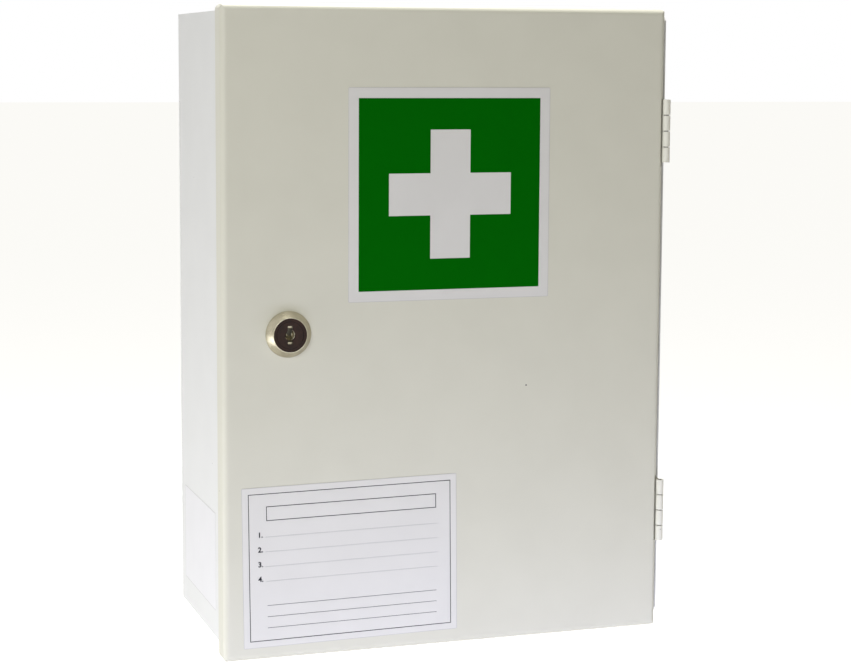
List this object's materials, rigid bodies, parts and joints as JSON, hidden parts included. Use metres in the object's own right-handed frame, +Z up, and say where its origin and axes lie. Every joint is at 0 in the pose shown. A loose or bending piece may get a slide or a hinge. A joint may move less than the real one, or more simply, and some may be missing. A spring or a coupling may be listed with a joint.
{
  "type": "lockable medicine cabinet",
  "caption": "Wall-hung folded-steel medicine cabinet with a hinged pan door, cam lock, inner shelves, a white cross on a green square and a blank form label.",
  "frame": {"origin": "centre of the wall-hole pattern, on the back face of the body", "axes": "+Z up; +X to the right of someone facing the door, towards the hinges; +Y into the wall, so the door faces -Y"},
  "size_m": [0.2925, 0.1455, 0.4],
  "materials": {
    "body_paint": "semi-gloss white powder coat on steel sheet",
    "door_paint": "semi-gloss warm white powder coat on steel sheet",
    "nickel": "turned die-cast zinc, nickel plated",
    "lock_face": "dark brown moulded plastic",
    "zinc": "zinc-plated steel",
    "rubber": "matt rubber",
    "label_film": "self-adhesive white film",
    "green_print": "green ink on film",
    "grey_print": "grey ink on film"
  },
  "bodies": {
    "cabinet": {"body_shell": "body_paint", "top_panel": "body_paint", "bottom_panel": "body_paint", "upper_shelf": "body_paint", "lower_shelf": "body_paint", "upper_shelf_brackets": "body_paint", "lower_shelf_brackets": "body_paint", "upper_hinge_body_leaf": "door_paint", "lower_hinge_body_leaf": "door_paint", "upper_hinge_pin": "zinc", "lower_hinge_pin": "zinc", "door_buffers": "rubber", "side_label": "label_film"},
    "door": {"door_panel": "door_paint", "upper_hinge_door_leaf": "door_paint", "lower_hinge_door_leaf": "door_paint", "sign_label": "label_film", "sign_green_print": "green_print", "form_label": "label_film", "form_print": "grey_print", "lock_housing": "nickel", "lock_face_ring": "lock_face", "lock_washer": "zinc", "lock_nut": "zinc"},
    "lock_core": {"lock_face_disc": "lock_face", "lock_plug": "nickel", "lock_cam": "zinc", "cam_washer": "zinc", "cam_screw": "zinc"}
  },
  "joints": [
    {"name": "door_swing", "type": "hinge", "parent": "cabinet", "child": "door", "pos_m": [0.1425, -0.1394, 0], "axis": [0, 0, 1], "range_deg": [0, 180]},
    {"name": "lock_turn", "type": "hinge", "parent": "door", "child": "lock_core", "pos_m": [-0.1065, -0.14, 0], "axis": [0, 1, 0], "range_deg": [0, 90]}
  ]
}
